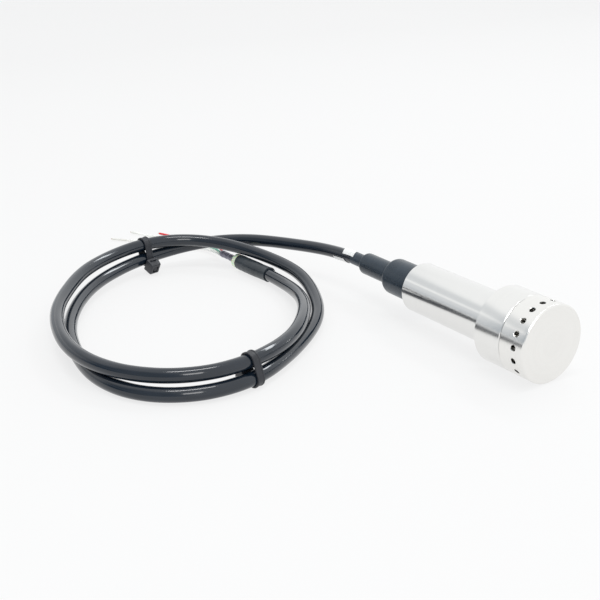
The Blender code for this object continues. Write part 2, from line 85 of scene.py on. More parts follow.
# Cable and what is on it
CABLE_RADIUS = 3.75 * MM
BOOT_RADIUS = 3.95 * MM
SLEEVE_RADIUS = 4.8 * MM
LINER_RADIUS = 4.55 * MM
BUNDLE_RADIUS = 2.2 * MM
CORE_RADIUS = 0.7 * MM
STRAP_WIDTH = 4.6 * MM
STRAP_THICK = 0.9 * MM
STRAP_CLEAR = 0.3 * MM
TIE_HEAD = Vector((8.2, 6.4, 8.6)) * MM
PAWL_TILT = 0.35

# The cable's route in millimetres, the same as the CAD's
ROUTE = [
    (-79, 0, 20.5), (-104, -2.3, 19.1), (-132, -11.4, 17.2), (-158, -25.2, 15.4), (-176, -46, 12.9),
    (-182, -73, 10.0), (-176, -101, 8.5), (-164, -126, 6.9), (-145, -147, 5.7), (-122, -163, 4.8),
    (-97, -174, 4.3), (-69, -180.6, 4.0), (-41, -181.8, 3.95), (-16, -172, 3.95), (0, -148, 4.1),
    (1, -122, 4.6), (-10, -96, 4.8), (-27, -71, 4.75), (-47, -49.6, 5.7), (-72, -35.1, 8.0),
    (-99, -27.6, 10.5), (-126, -29.3, 12.3), (-153, -39.3, 14.8), (-173, -58, 17.1), (-181, -85, 17.8),
    (-176, -112, 16.6), (-162, -137, 15.2), (-142, -156, 13.9), (-118, -172, 13.1), (-92, -182, 12.5),
    (-64, -186, 12.0), (-37, -181, 11.8), (-14, -165, 11.9), (-2, -140, 12.3), (-4, -113, 12.8),
    (-16, -88, 12.7), (-36, -67, 11.8), (-60.5, -50.2, 9.6), (-87.5, -40.0, 6.9), (-119.6, -36.1, 5.4),
]
SLEEVE_ROUTE = [(-117.6, -36.0, 5.5), (-120.8, -36.2, 5.4), (-135.0, -37.2, 5.3), (-148.8, -38.0, 5.3)]
LINER_ROUTE = [(-146.0, -37.8, 5.3), (-149.2, -38.0, 5.3), (-152.4, -38.2, 5.3)]
BUNDLE_ROUTE = [(-147.0, -38.0, 5.3), (-153.1, -38.2, 5.2), (-163.0, -37.8, 4.9), (-172.5, -37.9, 4.6)]
CORE_ROUTES = {
    "core_red": [(-173.0, -37.0, 5.5), (-186, -34.4, 5.4), (-203, -36.8, 4.6), (-220, -43.0, 3.8),
                 (-237, -51, 3.9)],
    "core_green": [(-173.0, -38.8, 5.4), (-186, -36.6, 4.4), (-202, -39.4, 3.2), (-218, -46.5, 2.4),
                   (-235, -58, 2.4)],
    "core_white": [(-173.0, -39.0, 3.6), (-185, -37.8, 2.6), (-200, -41.6, 1.6), (-218, -52.5, 1.1),
                   (-235, -66, 1.1), (-252, -80, 1.1)],
    "core_clear": [(-173.0, -37.2, 3.5), (-185, -35.0, 2.8), (-200, -36.0, 1.8), (-221, -43, 1.1),
                   (-240, -53, 1.1), (-259, -62, 1.1)],
}

# Camera and room
CAMERA_AT = (0.3785, -0.3508, 0.2155)
CAMERA_AZIMUTH = 55.76
CAMERA_ELEVATION = 21.11
CAMERA_LENS = 60.66
# Painted light on the floor: its glow at -X and at +X, weaker to the left as painted shade.
FLOOR_GLOW = (0.705, 0.765)


# ---------------------------------------------------------------- camera

def make_camera():
    """The camera solved for the probe and the cable loop together."""
    azimuth, elevation = math.radians(CAMERA_AZIMUTH), math.radians(CAMERA_ELEVATION)
    back = Vector((math.sin(azimuth) * math.cos(elevation), -math.cos(azimuth) * math.cos(elevation),
                   math.sin(elevation)))
    data = bpy.data.cameras.new("camera")
    data.lens = CAMERA_LENS
    data.clip_start = 0.01
    camera = bpy.data.objects.new("camera", data)
    camera.location = CAMERA_AT
    camera.rotation_mode = "QUATERNION"
    camera.rotation_quaternion = (-back).to_track_quat("-Z", "Y")
    bpy.context.scene.collection.objects.link(camera)
    bpy.context.scene.camera = camera


# ---------------------------------------------------------------- materials

class Look:
    """A Principled material being made, with short calls for the nodes that it needs."""

    def __init__(self, name, colour, roughness, metallic=0.0, **values):
        self.material = bpy.data.materials.new(name)
        self.material.use_nodes = True
        self.tree = self.material.node_tree
        self.shader = self.tree.nodes["Principled BSDF"]
        self.colour = colour
        self.shader.inputs["Base Color"].default_value = (*colour, 1.0)
        self.shader.inputs["Roughness"].default_value = roughness
        self.shader.inputs["Metallic"].default_value = metallic
        for key, value in values.items():
            self.shader.inputs[key.replace("_", " ")].default_value = value
        self.place = self.node("ShaderNodeTexCoord").outputs["Object"]

    def node(self, kind, links=None, **settings):
        """Add a node; links maps its inputs to sockets to join or to plain values."""
        made = self.tree.nodes.new(kind)
        for key, value in settings.items():
            setattr(made, key, value)
        for key, value in (links or {}).items():
            if isinstance(value, bpy.types.NodeSocket):
                self.tree.links.new(value, made.inputs[key])
            else:
                made.inputs[key].default_value = value
        return made

    def math(self, operation, first, second=0.0):
        return self.node("ShaderNodeMath", {0: first, 1: second}, operation=operation).outputs[0]

    def stretched(self, scale, place=None):
        """The place, scaled by three factors, so that a texture is drawn out along some axes."""
        return self.node("ShaderNodeVectorMath", {0: place or self.place, 1: scale},
                         operation="MULTIPLY").outputs[0]

    def noise(self, scale, detail=3.0, roughness=0.5, place=None):
        return self.node("ShaderNodeTexNoise", {"Vector": place or self.place, "Scale": scale,
                                                "Detail": detail, "Roughness": roughness}).outputs["Fac"]

    def ranged(self, value, low, high, new_low, new_high):
        made = self.node("ShaderNodeMapRange", {0: value, 1: low, 2: high, 3: new_low, 4: new_high})
        return made.outputs[0]

    def mixed(self, share, first, second):
        """A colour between two, each a socket or three numbers."""
        ends = [end if isinstance(end, bpy.types.NodeSocket) else (*end, 1.0) for end in (first, second)]
        made = self.node("ShaderNodeMix", {0: share, 6: ends[0], 7: ends[1]}, data_type="RGBA")
        return made.outputs[2]

    def join(self, socket, value):
        self.tree.links.new(value, self.shader.inputs[socket])

    def bump(self, height, distance, strength=1.0):
        made = self.node("ShaderNodeBump", {"Height": height, "Distance": distance, "Strength": strength})
        self.join("Normal", made.outputs["Normal"])


def turned_steel(name, tone, roughness, groove=0.0008 * MM):
    """Stainless turned on a lathe: fine rings round X, on the round as on the faces."""
    look = Look(name, tone, roughness, 1.0, Anisotropic=0.6)
    parts = look.node("ShaderNodeSeparateXYZ", {"Vector": look.place}).outputs
    up = look.math("SUBTRACT", parts["Z"], AXIS_Z)
    outward = look.math("SQRT", look.math("ADD", look.math("MULTIPLY", parts["Y"], parts["Y"]),
                                          look.math("MULTIPLY", up, up)))
    feed = look.math("ADD", parts["X"], outward)
    # Along the lathe's feed the texture is fine; round the axis it is long.
    rings = look.node("ShaderNodeCombineXYZ", {0: look.math("MULTIPLY", feed, 5200.0),
                                               1: look.math("MULTIPLY", parts["Y"], 60.0),
                                               2: look.math("MULTIPLY", parts["Z"], 60.0)}).outputs[0]
    broad = look.node("ShaderNodeCombineXYZ", {0: look.math("MULTIPLY", feed, 620.0),
                                               1: look.math("MULTIPLY", parts["Y"], 25.0),
                                               2: look.math("MULTIPLY", parts["Z"], 25.0)}).outputs[0]
    fine = look.noise(1.0, 2.0, 0.6, rings)
    wide = look.noise(1.0, 3.0, 0.55, broad)
    handling = look.noise(55.0, 4.0, 0.6)
    shade = look.ranged(wide, 0.3, 0.7, 0.0, 1.0)
    darker, lighter, smudged = (tuple(min(1.0, share * part) for part in tone)
                                for share in (0.985, 1.005, 0.98))
    base = look.mixed(shade, darker, lighter)
    look.join("Base Color", look.mixed(look.ranged(handling, 0.58, 0.75, 0.0, 0.6), base, smudged))
    rough = look.math("ADD", look.ranged(fine, 0.25, 0.75, roughness - 0.015, roughness + 0.015),
                      look.ranged(handling, 0.5, 0.8, 0.0, 0.03))
    look.join("Roughness", rough)
    look.join("Tangent", look.node("ShaderNodeTangent", direction_type="RADIAL", axis="X").outputs[0])
    look.bump(look.math("ADD", fine, look.math("MULTIPLY", wide, 0.35)), groove, 0.5)
    return look.material


def moulded(name, colour, roughness, grain=900.0, depth=0.02 * MM, **values):
    """Moulded plastic or rubber: fine grain, slow shade changes, dust in the hollows."""
    look = Look(name, colour, roughness, **values)
    slow = look.noise(70.0, 3.0)
    fine = look.noise(grain, 4.0, 0.6)
    dust = look.noise(260.0, 5.0, 0.7)
    lighter = tuple(min(1.0, part * 1.22 + 0.006) for part in colour)
    darker = tuple(part * 0.85 for part in colour)
    dusty = tuple(min(1.0, part * 1.1 + 0.035) for part in colour)
    base = look.mixed(look.ranged(slow, 0.35, 0.65, 0.0, 1.0), darker, lighter)
    look.join("Base Color", look.mixed(look.ranged(dust, 0.62, 0.8, 0.0, 0.35), base, dusty))
    look.join("Roughness", look.math("ADD", look.ranged(fine, 0.3, 0.7, roughness - 0.05, roughness + 0.05),
                                     look.ranged(slow, 0.4, 0.7, -0.02, 0.05)))
    look.bump(fine, depth, 0.6)
    return look.material


def drawn(name, colour, roughness, streak=0.004 * MM, **values):
    """An extruded skin: faint streaks along its length, wiped marks and a few dull patches."""
    look = Look(name, colour, roughness, **values)
    surface = look.node("ShaderNodeUVMap", uv_map="UVMap").outputs[0]
    streaks = look.noise(1.0, 3.0, 0.6, look.stretched((34.0, 26.0, 1.0), surface))
    wiped = look.noise(1.0, 4.0, 0.6, look.stretched((5.0, 60.0, 1.0), surface))
    lighter = tuple(min(1.0, part * 1.3 + 0.004) for part in colour)
    look.join("Base Color", look.mixed(look.ranged(wiped, 0.4, 0.75, 0.0, 1.0), colour, lighter))
    look.join("Roughness", look.math("ADD", look.ranged(wiped, 0.45, 0.8, roughness, roughness + 0.12),
                                     look.ranged(streaks, 0.3, 0.7, -0.02, 0.03)))
    look.bump(streaks, streak, 0.5)
    return look.material


def foil(name):
    """Metallised film wound round the cores, creased along and across."""
    look = Look(name, (0.16, 0.15, 0.2), 0.3, 0.55)
    surface = look.node("ShaderNodeUVMap", uv_map="UVMap").outputs[0]
    slanted = look.noise(1.0, 3.0, 0.6, look.stretched((9.0, 420.0, 1.0), surface))
    crease = look.node("ShaderNodeTexVoronoi", {"Vector": look.stretched((7.0, 700.0, 1.0), surface),
                                                "Scale": 1.0}).outputs["Distance"]
    look.join("Base Color", look.mixed(slanted, (0.1, 0.095, 0.13), (0.28, 0.27, 0.34)))
    look.join("Roughness", look.ranged(slanted, 0.3, 0.7, 0.22, 0.45))
    look.bump(look.math("ADD", crease, slanted), 0.12 * MM, 0.7)
    return look.material


def vinyl(name):
    """White tape, its edges a little grey from handling."""
    look = Look(name, (0.86, 0.86, 0.84), 0.42)
    grime = look.noise(420.0, 5.0, 0.7)
    fine = look.noise(2200.0, 3.0)
    look.join("Base Color", look.mixed(look.ranged(grime, 0.5, 0.8, 0.0, 0.7), (0.88, 0.88, 0.86),
                                       (0.62, 0.63, 0.62)))
    look.join("Roughness", look.ranged(fine, 0.3, 0.7, 0.36, 0.5))
    look.bump(look.math("ADD", fine, grime), 0.02 * MM, 0.5)
    return look.material


def liner_plastic(name):
    """The heat-shrink's pale, slightly cloudy liner."""
    look = Look(name, (0.8, 0.9, 0.68), 0.3, Subsurface_Weight=0.25, Subsurface_Scale=0.6 * MM)
    cloud = look.noise(600.0, 4.0, 0.6)
    share = look.ranged(cloud, 0.35, 0.7, 0.0, 1.0)
    look.join("Base Color", look.mixed(share, (0.7, 0.84, 0.56), (0.88, 0.95, 0.8)))
    look.join("Roughness", look.ranged(cloud, 0.3, 0.7, 0.24, 0.4))
    look.bump(cloud, 0.03 * MM, 0.5)
    return look.material


def fired_ceramic(name):
    """The piezo disc: fired ceramic with thin worn silver on its faces."""
    look = Look(name, (0.66, 0.62, 0.55), 0.4, 0.3)
    patch = look.noise(500.0, 5.0, 0.65)
    worn = look.ranged(patch, 0.5, 0.62, 0.0, 1.0)
    look.join("Base Color", look.mixed(worn, (0.78, 0.77, 0.74), (0.5, 0.42, 0.3)))
    look.join("Metallic", look.ranged(worn, 0.0, 1.0, 0.8, 0.0))
    look.join("Roughness", look.ranged(patch, 0.3, 0.7, 0.3, 0.6))
    look.bump(patch, 0.02 * MM, 0.5)
    return look.material


def solder_mask(name):
    """Green board with paler copper tracks under the mask."""
    look = Look(name, (0.02, 0.14, 0.06), 0.32, Coat_Weight=0.3)
    tracks = look.node("ShaderNodeTexBrick", {"Vector": look.place, "Scale": 260.0, "Mortar Size": 0.06,
                                              "Color1": (0.0, 0.0, 0.0, 1.0), "Color2": (0.0, 0.0, 0.0, 1.0),
                                              "Mortar": (1.0, 1.0, 1.0, 1.0)}).outputs["Color"]
    weave = look.noise(1500.0, 3.0)
    base = look.mixed(weave, (0.014, 0.1, 0.045), (0.025, 0.16, 0.07))
    look.join("Base Color", look.mixed(tracks, base, (0.06, 0.3, 0.12)))
    look.join("Roughness", look.ranged(weave, 0.3, 0.7, 0.25, 0.42))
    look.bump(tracks, 0.03 * MM, 0.6)
    return look.material


def wound_tape(name):
    """Yellow polyester tape in even turns."""
    look = Look(name, (0.75, 0.52, 0.07), 0.35)
    turns = look.node("ShaderNodeTexWave", {"Vector": look.place, "Scale": 420.0, "Distortion": 0.6,
                                            "Detail": 2.0}, bands_direction="Z").outputs["Fac"]
    look.join("Base Color", look.mixed(turns, (0.6, 0.38, 0.04), (0.85, 0.63, 0.12)))
    look.join("Roughness", look.ranged(turns, 0.0, 1.0, 0.28, 0.5))
    look.bump(turns, 0.05 * MM, 0.6)
    return look.material


def spun_aluminium(name):
    """A drawn can, brushed round its height."""
    look = Look(name, (0.74, 0.75, 0.77), 0.3, 1.0)
    lines = look.noise(1.0, 3.0, 0.6, look.stretched((40.0, 40.0, 4200.0)))
    look.join("Base Color", look.mixed(lines, (0.62, 0.63, 0.66), (0.82, 0.83, 0.85)))
    look.join("Roughness", look.ranged(lines, 0.3, 0.7, 0.22, 0.42))
    look.bump(lines, 0.008 * MM, 0.5)
    return look.material


def stranded_copper(name):
    look = Look(name, (0.78, 0.66, 0.55), 0.3, 1.0)
    strands = look.noise(3000.0, 3.0)
    look.join("Base Color", look.mixed(strands, (0.7, 0.52, 0.4), (0.85, 0.8, 0.74)))
    look.join("Roughness", look.ranged(strands, 0.3, 0.7, 0.22, 0.45))
    look.bump(strands, 0.03 * MM, 0.6)
    return look.material


CORE_COLOURS = {"red": (0.78, 0.03, 0.04), "green": (0.12, 0.42, 0.3), "white": (0.9, 0.88, 0.8),
                "clear": (0.84, 0.84, 0.78), "blue": (0.03, 0.12, 0.5), "black": (0.02, 0.02, 0.022)}


def make_looks():
    """Every material, by the name that the pieces ask for it with."""
    looks = {
        "cap": turned_steel("stainless_cap", (0.86, 0.852, 0.828), 0.17),
        "head": turned_steel("stainless_head", (0.84, 0.836, 0.82), 0.16),
        "tube": turned_steel("stainless_tube", (0.82, 0.818, 0.805), 0.14),
        "small_steel": turned_steel("stainless_small", (0.7, 0.7, 0.69), 0.3, 0.01 * MM),
        "gland": moulded("black_nylon", (0.011, 0.024, 0.039), 0.29, depth=0.012 * MM),
        "tie": moulded("tie_nylon", (0.018, 0.02, 0.026), 0.42, 700.0, 0.02 * MM),
        "seal": moulded("seal_rubber", (0.015, 0.015, 0.015), 0.55, 1200.0, 0.02 * MM),
        "window": moulded("window_resin", (0.74, 0.73, 0.65), 0.42, 1500.0, 0.01 * MM),
        "backing": moulded("backing_epoxy", (0.08, 0.075, 0.07), 0.6, 1400.0, 0.05 * MM),
        "natural": moulded("natural_nylon", (0.78, 0.76, 0.67), 0.42, 1100.0, 0.015 * MM),
        "chip": moulded("component_black", (0.028, 0.028, 0.03), 0.48, 2200.0, 0.02 * MM),
        "sleeve": moulded("sleeve_black", (0.026, 0.034, 0.042), 0.34, 380.0, 0.03 * MM),
        "jacket": drawn("cable_jacket", (0.004, 0.009, 0.017), 0.09, Coat_Weight=0.35, Coat_Roughness=0.03),
        "marker": vinyl("marker_white"),
        "liner": liner_plastic("sleeve_liner"),
        "foil": foil("shield_foil"),
        "ceramic": fired_ceramic("piezo_ceramic"),
        "board": solder_mask("circuit_board"),
        "coil": wound_tape("coil_tape"),
        "can": spun_aluminium("capacitor_can"),
        "copper": stranded_copper("tinned_copper"),
    }
    for name, colour in CORE_COLOURS.items():
        looks[name] = moulded("insulation_" + name, colour, 0.3, 900.0, 0.01 * MM)
    return looks


# ---------------------------------------------------------------- meshes

def new_piece(name, vertices, faces, look, body, replaces=(), uvs=None, sharp=35.0):
    """A smooth-shaded object from its vertices and faces, riding on a CAD body."""
    mesh = bpy.data.meshes.new(name)
    mesh.from_pydata([tuple(v) for v in vertices], [], [tuple(f) for f in faces])
    if uvs is not None:
        layer = mesh.uv_layers.new(name="UVMap")
        layer.data.foreach_set("uv", np.array(uvs, np.float32).ravel())
    mesh.validate()
    return finished(name, mesh, look, body, replaces, sharp)


def finished(name, mesh, look, body, replaces=(), sharp=35.0):
    """An object of a mesh, with its material, shading, body and the CAD nodes it stands for."""
    mesh.shade_smooth()
    mesh.set_sharp_from_angle(angle=math.radians(sharp))
    mesh.materials.append(look)
    piece = bpy.data.objects.new(name, mesh)
    bpy.context.scene.collection.objects.link(piece)
    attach(piece, body)
    if replaces:
        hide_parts(*replaces)
    return piece


def softened(outline, closed):
    """An outline of (x, radius, rounding) with each corner that has a rounding turned into an arc."""
    points = []
    last = len(outline) - 1
    for i, (x, radius, rounding) in enumerate(outline):
        here = np.array((x, radius))
        if rounding == 0.0 or (not closed and i in (0, last)):
            points.append(here)
            continue
        sides = [np.array(outline[j][:2]) - here for j in (i - 1, (i + 1) % len(outline))]
        sides = [side / np.linalg.norm(side) for side in sides]
        half = math.acos(float(np.clip(sides[0] @ sides[1], -1.0, 1.0))) / 2.0
        start, end = (here + side * rounding / math.tan(half) for side in sides)
        middle = sides[0] + sides[1]
        centre = here + middle / np.linalg.norm(middle) * rounding / math.sin(half)
        for t in np.linspace(0.0, 1.0, CORNER_STEPS + 1):
            spoke = start * (1.0 - t) + end * t - centre
            points.append(centre + spoke * rounding / np.linalg.norm(spoke))
    return points


def spun(outline, closed=True, relief=None, segments=TURN_SEGMENTS):
    """Vertices and faces of an outline spun round the probe's axis.

    relief, if given, moves a (x, radius, angle) point to a new radius, as a thread does.
    """
    points = softened(outline, closed)
    vertices, rings = [], []
    for x, radius in points:
        if radius < 1e-7:
            rings.append([len(vertices)])
            vertices.append((x, 0.0, AXIS_Z))
            continue
        ring = []
        for i in range(segments):
            angle = PORT_PHASE + TAU * (i / segments) - TAU / PORT_COUNT / 2.0
            r = relief(x, radius, angle) if relief else radius
            ring.append(len(vertices))
            vertices.append((x, r * math.cos(angle), AXIS_Z + r * math.sin(angle)))
        rings.append(ring)
    pairs = list(zip(rings, rings[1:]))
    if closed:
        pairs.append((rings[-1], rings[0]))
    faces = []
    for first, second in pairs:
        for i in range(segments):
            j = (i + 1) % segments
            if len(first) == 1:
                faces.append((first[0], second[j], second[i]))
            elif len(second) == 1:
                faces.append((first[i], first[j], second[0]))
            else:
                faces.append((first[i], first[j], second[j], second[i]))
    return vertices, faces


def turned(name, outline, look, replaces, body="probe", closed=True, relief=None):
    """A lathe-turned piece from its outline."""
    vertices, faces = spun(outline, closed, relief)
    piece = new_piece(name, vertices, faces, look, body, replaces)
    outward(piece)
    return piece


def outward(piece):
    """Turn a closed piece's faces to point out."""
    bm = bmesh.new()
    bm.from_mesh(piece.data)
    bmesh.ops.recalc_face_normals(bm, faces=bm.faces)
    bm.to_mesh(piece.data)
    bm.free()


def helix(x, angle):
    """Height from 0 to 1 of a right-handed thread form at a place along X and an angle round it."""
    phase = (x / THREAD_PITCH - angle / TAU) % 1.0
    return min(1.0, max(0.0, 2.6 * (1.0 - abs(2.0 * phase - 1.0)) - 0.8))


def threaded(front_x, back_x, root):
    """A relief that cuts the thread between two places, running out over the last pitch of each end."""
    def relief(x, radius, angle):
        if not back_x < x < front_x or abs(radius - root) > THREAD_DEPTH:
            return radius
        fade = min(1.0, (front_x - x) / THREAD_PITCH * 1.6, (x - back_x) / THREAD_PITCH * 1.6)
        height = helix(x, angle)
        return radius * (1.0 - fade) + (root + THREAD_DEPTH * height) * fade
    return relief


def thread_rows(front_x, back_x, radius):
    """Plain outline points close enough together to carry the thread."""
    rows = max(2, round((front_x - back_x) / (THREAD_PITCH / 12.0)))
    return [(front_x + (back_x - front_x) * i / rows, radius, 0.0) for i in range(rows + 1)]


# ---------------------------------------------------------------- probe, metal

def ported_band(radius, front, back, mouth):
    """A ring of square patches on a cylinder, each with a round port's rim in its middle.

    front and back are distances behind the face. Gives vertices, faces and, for each port, the
    indices of its rim, which lies where a straight drill of radius `mouth` meets the cylinder.
    """
    side = 10
    layers = 6
    half_angle = TAU / PORT_COUNT / 2.0
    ticks = [i / side for i in range(side)]
    square = ([(-1.0 + 2.0 * t, -1.0) for t in ticks] + [(1.0, -1.0 + 2.0 * t) for t in ticks]
              + [(1.0 - 2.0 * t, 1.0) for t in ticks] + [(-1.0, 1.0 - 2.0 * t) for t in ticks])
    vertices, faces, rims = [], [], []
    for port in range(PORT_COUNT):
        middle = PORT_PHASE + TAU * port / PORT_COUNT
        start = len(vertices)
        for layer in range(layers + 1):
            share = (layer / layers) ** 1.3
            for u, v in square:
                depth = front if v < 0.0 else back
                edge = (u * half_angle, PORT_BACK + abs(v) * (depth - PORT_BACK))
                toward = math.atan2(edge[1] - PORT_BACK, edge[0] * radius)
                rim = (math.asin(mouth * math.cos(toward) / radius), PORT_BACK + mouth * math.sin(toward))
                angle = middle + rim[0] * (1.0 - share) + edge[0] * share
                behind = rim[1] * (1.0 - share) + edge[1] * share
                vertices.append((FACE_X - behind, radius * math.cos(angle),
                                 AXIS_Z + radius * math.sin(angle)))
        count = len(square)
        for layer in range(layers):
            for i in range(count):
                j = (i + 1) % count
                a, b = start + layer * count, start + (layer + 1) * count
                faces.append((a + i, a + j, b + j, b + i))
        rims.append(list(range(start, start + count)))
    return vertices, faces, rims


def make_guard_cap(looks):
    """The screw-on cap: faced front, broken edges, drilled ports, threaded bore."""
    back = CAP_LOW.x
    band = (3.4 * MM, 9.0 * MM)
    inner_band = (CAP_WALL + 0.25 * MM, CHAMBER_BACK - 0.25 * MM)
    thread_x = (FACE_X - CHAMBER_BACK, FACE_X - THREAD_BACK)
    bore = THREAD_ROOT + THREAD_PLAY + THREAD_DEPTH * 0.5
    edge = 0.6 * MM
    front = [(FACE_X, 0.0, 0.0), (FACE_X, HEAD_RADIUS - edge, 0.3 * MM),
             (FACE_X - edge, HEAD_RADIUS, 0.3 * MM), (FACE_X - band[0], HEAD_RADIUS, 0.0)]
    rear = [(FACE_X - band[1], HEAD_RADIUS, 0.0), (back + 0.4 * MM, HEAD_RADIUS, 0.12 * MM),
            (back, HEAD_RADIUS - 0.4 * MM, 0.08 * MM), (back, SEAL_BORE + 0.3 * MM, 0.08 * MM),
            (back + 0.3 * MM, SEAL_BORE, 0.0), (thread_x[1], SEAL_BORE, 0.0), (thread_x[1], bore, 0.0),
            *thread_rows(thread_x[1] + 0.02 * MM, thread_x[0] - 0.02 * MM, bore),
            (thread_x[0], bore, 0.0), (thread_x[0], CHAMBER_RADIUS, 0.0),
            (FACE_X - inner_band[1], CHAMBER_RADIUS, 0.0)]
    chamber = [(FACE_X - inner_band[0], CHAMBER_RADIUS, 0.0), (FACE_X - CAP_WALL, CHAMBER_RADIUS, 0.0),
               (FACE_X - CAP_WALL, 0.0, 0.0)]
    relief = threaded(thread_x[0], thread_x[1], THREAD_ROOT + THREAD_PLAY)

    vertices, faces = [], []

    def add(new_vertices, new_faces):
        start = len(vertices)
        vertices.extend(new_vertices)
        faces.extend(tuple(start + i for i in face) for face in new_faces)
        return start

    for outline in (front, rear, chamber):
        add(*spun(outline, closed=False, relief=relief))
    outer = ported_band(HEAD_RADIUS, *band, PORT_RADIUS + PORT_BREAK)
    outer_start = add(*outer[:2])
    inner = ported_band(CHAMBER_RADIUS, *inner_band, PORT_RADIUS)
    inner_start = add(*inner[:2])
    count = len(outer[2][0])
    for port in range(PORT_COUNT):
        middle = PORT_PHASE + TAU * port / PORT_COUNT
        mouth = [outer_start + i for i in outer[2][port]]
        inside = [inner_start + i for i in inner[2][port]]
        throat = []
        for i in mouth:
            # The throat lies under the mouth's chamfer, on the straight drill.
            x, y, z = vertices[i]
            across = math.sin(math.atan2(z - AXIS_Z, y) - middle) * HEAD_RADIUS
            offset = np.array((x - (FACE_X - PORT_BACK), across))
            offset *= PORT_RADIUS / (PORT_RADIUS + PORT_BREAK)
            radius = HEAD_RADIUS - PORT_BREAK
            angle = middle + math.asin(offset[1] / radius)
            throat.append(len(vertices))
            vertices.append((FACE_X - PORT_BACK + offset[0], radius * math.cos(angle),
                             AXIS_Z + radius * math.sin(angle)))
        # The inner band's rim starts at the same corner of its patch, so the rims pair up.
        for first, second in ((mouth, throat), (throat, inside)):
            for i in range(count):
                j = (i + 1) % count
                faces.append((first[i], first[j], second[j], second[i]))

    piece = new_piece("guard_cap_shell", vertices, faces, looks["cap"], "cap",
                      ["guard_cap"])
    bm = bmesh.new()
    bm.from_mesh(piece.data)
    bmesh.ops.remove_doubles(bm, verts=bm.verts, dist=1e-6)
    bmesh.ops.recalc_face_normals(bm, faces=bm.faces)
    bm.to_mesh(piece.data)
    bm.free()
    piece.data.shade_smooth()
    piece.data.set_sharp_from_angle(angle=math.radians(35.0))


def make_head(looks):
    """The head: threaded spigot with a relief groove, seam edge, and the socket for the tube."""
    spigot_front = HEAD_HIGH.x
    rim = CAP_LOW.x - 0.12 * MM
    rear = HEAD_LOW.x
    pocket = 13.05 * MM
    pocket_end = FACE_X - 24.6 * MM
    socket = TUBE_RADIUS + 0.08 * MM
    socket_end = FACE_X - 26.7 * MM
    passage = 9.0 * MM
    crest = THREAD_ROOT + THREAD_DEPTH * 0.5
    thread_x = (spigot_front - 0.3 * MM, FACE_X - THREAD_BACK)
    outline = [
        (spigot_front, pocket + 0.3 * MM, 0.1 * MM), (spigot_front, THREAD_ROOT, 0.1 * MM),
        *thread_rows(*thread_x, crest),
        (thread_x[1] - 0.3 * MM, 15.5 * MM, 0.1 * MM), (rim, 15.5 * MM, 0.2 * MM),
        (rim, HEAD_RADIUS - 0.35 * MM, 0.08 * MM), (rim - 0.35 * MM, HEAD_RADIUS, 0.12 * MM),
        (rear + 0.7 * MM, HEAD_RADIUS, 0.35 * MM), (rear, HEAD_RADIUS - 0.7 * MM, 0.3 * MM),
        (rear, socket + 0.35 * MM, 0.15 * MM), (rear + 0.35 * MM, socket, 0.0),
        (socket_end, socket, 0.0), (socket_end, passage, 0.0), (pocket_end, passage, 0.0),
        (pocket_end, pocket, 0.0), (spigot_front - 0.3 * MM, pocket, 0.0),
    ]
    turned("head_shell", outline, looks["head"], ["head_body"],
           relief=threaded(*thread_x, THREAD_ROOT))


def make_tube(looks):
    """The stainless body tube, its rear edge broken and its bore open."""
    bore = 12.5 * MM
    outline = [
        (TUBE_HIGH.x, TUBE_RADIUS, 0.0), (TUBE_LOW.x + 0.55 * MM, TUBE_RADIUS, 0.3 * MM),
        (TUBE_LOW.x, TUBE_RADIUS - 0.55 * MM, 0.2 * MM), (TUBE_LOW.x, bore + 0.2 * MM, 0.1 * MM),
        (TUBE_LOW.x + 0.2 * MM, bore, 0.0), (TUBE_HIGH.x, bore, 0.0),
    ]
    turned("tube_shell", outline, looks["tube"], ["body_tube"])


def make_front_details(looks):
    """What shows with the cap off: the retaining ring with its spanner slots, and the cap's seal."""
    low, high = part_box("retaining_ring")
    outer = (high.z - low.z) / 2.0
    inner = 10.0 * MM
    outline = [(high.x, inner, 0.15 * MM), (high.x, outer, 0.15 * MM), (low.x, outer, 0.1 * MM),
               (low.x, inner, 0.1 * MM)]
    vertices, faces = spun(outline)
    ring = new_piece("retaining_ring_turned", vertices, faces, looks["small_steel"], "probe",
                     ["retaining_ring"])
    outward(ring)
    cutter = bmesh.new()
    slot_size = Matrix.Diagonal((1.4 * MM, 4.0 * MM, 1.8 * MM, 1.0))
    for side in (-1.0, 1.0):
        slot_at = Matrix.Translation((high.x, side * (inner + outer) / 2.0, AXIS_Z))
        bmesh.ops.create_cube(cutter, size=1.0, matrix=slot_at @ slot_size)
    slots_mesh = bpy.data.meshes.new("spanner_slots")
    cutter.to_mesh(slots_mesh)
    cutter.free()
    slots = bpy.data.objects.new("spanner_slots", slots_mesh)
    bpy.context.scene.collection.objects.link(slots)
    boolean = ring.modifiers.new("slots", "BOOLEAN")
    boolean.operation = "DIFFERENCE"
    boolean.object = slots
    applied = bpy.data.meshes.new_from_object(ring.evaluated_get(bpy.context.evaluated_depsgraph_get()))
    ring.modifiers.clear()
    ring.data = applied
    applied.set_sharp_from_angle(angle=math.radians(30.0))
    bpy.data.objects.remove(slots)

    low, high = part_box("cap_o_ring")
    section = (high.x - low.x) / 2.0
    circle = (high.z - low.z) / 2.0 - section
    middle = (high.x + low.x) / 2.0
    outline = [(middle + section * math.cos(a), circle + section * math.sin(a), 0.0)
               for a in np.linspace(0.0, TAU, 20, endpoint=False)]
    turned("cap_seal", outline, looks["seal"], ["cap_o_ring"], body="cap_carrier")


# ---------------------------------------------------------------- probe, gland

